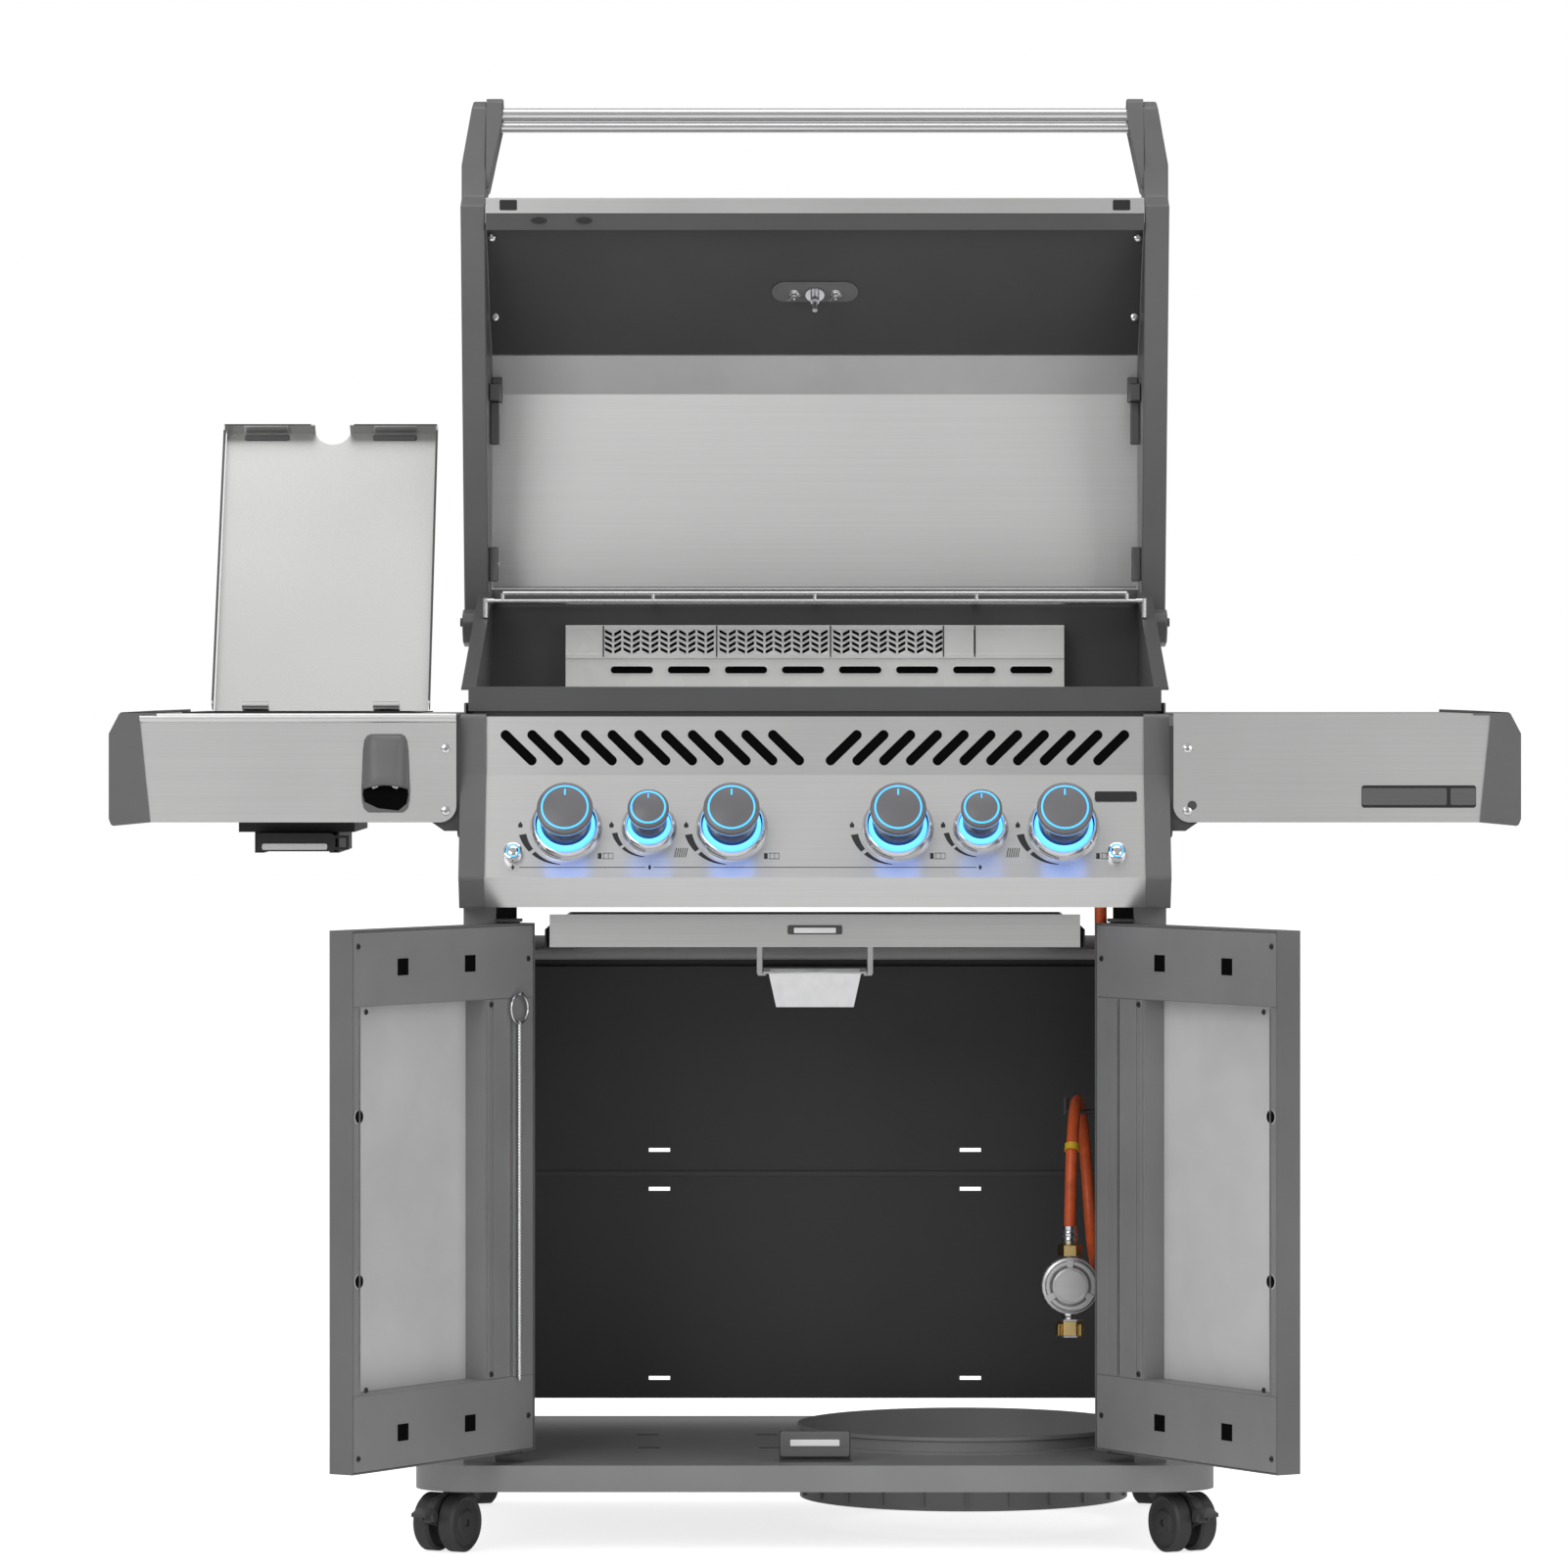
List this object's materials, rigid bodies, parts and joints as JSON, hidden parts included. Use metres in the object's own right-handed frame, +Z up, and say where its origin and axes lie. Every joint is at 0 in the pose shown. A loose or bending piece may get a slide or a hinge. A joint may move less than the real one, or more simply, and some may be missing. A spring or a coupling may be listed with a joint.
{
  "type": "gas barbecue grill",
  "caption": "Gas barbecue on a cabinet cart: domed hood, wire grids and rear burner, side burner, folding shelf, double doors, bottle well and swivel casters.",
  "frame": {"origin": "on the floor, under the middle of the bounding box in the resting pose", "axes": "+X to the right seen from the cook's side, -Y towards the cook, +Z up"},
  "size_m": [1.542, 0.9318, 1.628],
  "materials": {
    "black_enamel": "satin black enamel",
    "grey_casting": "satin grey paint on cast metal",
    "sheet_grey": "light grey zinc-coated sheet",
    "stainless": "horizontally brushed stainless steel",
    "steel_wire": "polished steel wire and bar",
    "cast_black": "matt cast iron",
    "alloy": "plain cast alloy",
    "knob_grey": "dark grey knob with a light ring",
    "caster_plastic": "dark moulded plastic",
    "caster_tread": "dark rubber tread",
    "burner_ceramic": "pale perforated ceramic",
    "hose_orange": "orange gas hose",
    "tray_black": "black drip tray"
  },
  "bodies": {
    "cart": {"base_tray": "black_enamel", "bottle_collar": "black_enamel", "side_panels": "sheet_grey", "back_panels": "sheet_grey", "cart_brackets": "sheet_grey", "firebox": "grey_casting", "burner_tubes": "stainless", "sear_plates": "stainless", "cooking_grids": "steel_wire", "warming_rack": "steel_wire", "rear_burner_housing": "stainless", "rear_burner_tile": "burner_ceramic", "gas_manifold": "alloy", "control_panel": "stainless", "panel_trims": "grey_casting", "knob_bezels": "steel_wire", "left_shelf_top": "stainless", "left_shelf_fascia": "stainless", "left_shelf_endcap": "grey_casting", "side_burner_pan": "black_enamel", "side_burner_head": "alloy", "side_burner_grate": "cast_black", "bottle_opener": "grey_casting", "hinge_pins": "steel_wire", "gas_hose": "hose_orange", "gas_regulator": "alloy"},
    "hood": {"hood_shell": "stainless", "hood_caps": "grey_casting", "hood_handle": "steel_wire", "thermometer": "steel_wire"},
    "side_lid": {"side_burner_lid": "stainless"},
    "left_door": {"left_door_skin": "sheet_grey", "left_door_frame": "sheet_grey", "match_holder": "steel_wire"},
    "right_door": {"right_door_skin": "sheet_grey", "right_door_frame": "sheet_grey"},
    "right_shelf": {"right_shelf_top": "stainless", "right_shelf_fascia": "stainless", "right_shelf_endcap": "grey_casting"},
    "drip_tray": {"drip_tray": "stainless", "grease_cup": "alloy"},
    "side_drip_tray": {"side_drip_tray": "tray_black"},
    "knob_1": {"knob_1": "knob_grey"},
    "knob_2": {"knob_2": "knob_grey"},
    "knob_3": {"knob_3": "knob_grey"},
    "knob_4": {"knob_4": "knob_grey"},
    "knob_5": {"knob_5": "knob_grey"},
    "knob_6": {"knob_6": "knob_grey"},
    "igniter_button": {"igniter_button": "steel_wire"},
    "light_button": {"light_button": "steel_wire"},
    "caster_yoke_front_left": {"caster_yoke_front_left": "caster_plastic"},
    "caster_wheels_front_left": {"caster_wheels_front_left": "caster_tread"},
    "caster_brake_front_left": {"caster_brake_front_left": "caster_plastic"},
    "caster_yoke_front_right": {"caster_yoke_front_right": "caster_plastic"},
    "caster_wheels_front_right": {"caster_wheels_front_right": "caster_tread"},
    "caster_brake_front_right": {"caster_brake_front_right": "caster_plastic"},
    "caster_yoke_rear_left": {"caster_yoke_rear_left": "caster_plastic"},
    "caster_wheels_rear_left": {"caster_wheels_rear_left": "caster_tread"},
    "caster_yoke_rear_right": {"caster_yoke_rear_right": "caster_plastic"},
    "caster_wheels_rear_right": {"caster_wheels_rear_right": "caster_tread"}
  },
  "joints": [
    {"name": "hood_hinge", "type": "hinge", "parent": "cart", "child": "hood", "pos_m": [0, 0.30993, 1.022], "axis": [1, 0, 0], "range_deg": [0, 90]},
    {"name": "side_lid_hinge", "type": "hinge", "parent": "cart", "child": "side_lid", "pos_m": [-0.566, 0.22193, 0.926], "axis": [1, 0, 0], "range_deg": [0, 121]},
    {"name": "left_door_hinge", "type": "hinge", "parent": "cart", "child": "left_door", "pos_m": [-0.327, -0.18407, 0.4], "axis": [0, 0, 1], "range_deg": [0, 122]},
    {"name": "right_door_hinge", "type": "hinge", "parent": "cart", "child": "right_door", "pos_m": [0.327, -0.18407, 0.4], "axis": [0, 0, -1], "range_deg": [0, 122]},
    {"name": "right_shelf_fold", "type": "hinge", "parent": "cart", "child": "right_shelf", "pos_m": [0.412, 0.03193, 0.818], "axis": [0, 1, 0], "range_deg": [0, 90]},
    {"name": "drip_tray_slide", "type": "slide", "parent": "cart", "child": "drip_tray", "axis": [0, 1, 0], "range_m": [-0.38, 0]},
    {"name": "side_drip_tray_slide", "type": "slide", "parent": "cart", "child": "side_drip_tray", "axis": [0, 1, 0], "range_m": [-0.2, 0]},
    {"name": "knob_1_turn", "type": "hinge", "parent": "cart", "child": "knob_1", "pos_m": [-0.2715, -0.21277, 0.794], "axis": [0, -0.9063, 0.4226], "range_deg": [0, 180]},
    {"name": "knob_2_turn", "type": "hinge", "parent": "cart", "child": "knob_2", "pos_m": [-0.181, -0.21277, 0.794], "axis": [0, -0.9063, 0.4226], "range_deg": [0, 180]},
    {"name": "knob_3_turn", "type": "hinge", "parent": "cart", "child": "knob_3", "pos_m": [-0.0905, -0.21277, 0.794], "axis": [0, -0.9063, 0.4226], "range_deg": [0, 180]},
    {"name": "knob_4_turn", "type": "hinge", "parent": "cart", "child": "knob_4", "pos_m": [0.0905, -0.21277, 0.794], "axis": [0, -0.9063, 0.4226], "range_deg": [0, 180]},
    {"name": "knob_5_turn", "type": "hinge", "parent": "cart", "child": "knob_5", "pos_m": [0.181, -0.21277, 0.794], "axis": [0, -0.9063, 0.4226], "range_deg": [0, 180]},
    {"name": "knob_6_turn", "type": "hinge", "parent": "cart", "child": "knob_6", "pos_m": [0.2715, -0.21277, 0.794], "axis": [0, -0.9063, 0.4226], "range_deg": [0, 180]},
    {"name": "igniter_button_push", "type": "slide", "parent": "cart", "child": "igniter_button", "axis": [0, 0.9063, -0.4226], "range_m": [0, 0.004], "stiffness_N_per_m": 350},
    {"name": "light_button_push", "type": "slide", "parent": "cart", "child": "light_button", "axis": [0, 0.9063, -0.4226], "range_m": [0, 0.004], "stiffness_N_per_m": 350},
    {"name": "caster_swivel_front_left", "type": "hinge", "parent": "cart", "child": "caster_yoke_front_left", "pos_m": [-0.392, -0.15307, 0.06], "axis": [0, 0, 1], "continuous": true},
    {"name": "caster_roll_front_left", "type": "hinge", "parent": "caster_yoke_front_left", "child": "caster_wheels_front_left", "pos_m": [-0.403, -0.17212, 0.032], "axis": [-0.866, 0.5, 0], "continuous": true},
    {"name": "caster_brake_turn_front_left", "type": "hinge", "parent": "caster_yoke_front_left", "child": "caster_brake_front_left", "pos_m": [-0.4215, -0.20417, 0.04], "axis": [0.866, -0.5, 0], "range_deg": [0, 18]},
    {"name": "caster_swivel_front_right", "type": "hinge", "parent": "cart", "child": "caster_yoke_front_right", "pos_m": [0.392, -0.15307, 0.06], "axis": [0, 0, 1], "continuous": true},
    {"name": "caster_roll_front_right", "type": "hinge", "parent": "caster_yoke_front_right", "child": "caster_wheels_front_right", "pos_m": [0.403, -0.17212, 0.032], "axis": [-0.866, -0.5, 0], "continuous": true},
    {"name": "caster_brake_turn_front_right", "type": "hinge", "parent": "caster_yoke_front_right", "child": "caster_brake_front_right", "pos_m": [0.4215, -0.20417, 0.04], "axis": [0.866, 0.5, 0], "range_deg": [0, 18]},
    {"name": "caster_swivel_rear_left", "type": "hinge", "parent": "cart", "child": "caster_yoke_rear_left", "pos_m": [-0.392, 0.31693, 0.06], "axis": [0, 0, 1], "continuous": true},
    {"name": "caster_roll_rear_left", "type": "hinge", "parent": "caster_yoke_rear_left", "child": "caster_wheels_rear_left", "pos_m": [-0.39952, 0.3376, 0.032], "axis": [0.9397, 0.342, 0], "continuous": true},
    {"name": "caster_swivel_rear_right", "type": "hinge", "parent": "cart", "child": "caster_yoke_rear_right", "pos_m": [0.392, 0.31693, 0.06], "axis": [0, 0, 1], "continuous": true},
    {"name": "caster_roll_rear_right", "type": "hinge", "parent": "caster_yoke_rear_right", "child": "caster_wheels_rear_right", "pos_m": [0.39952, 0.3376, 0.032], "axis": [0.9397, -0.342, 0], "continuous": true}
  ]
}
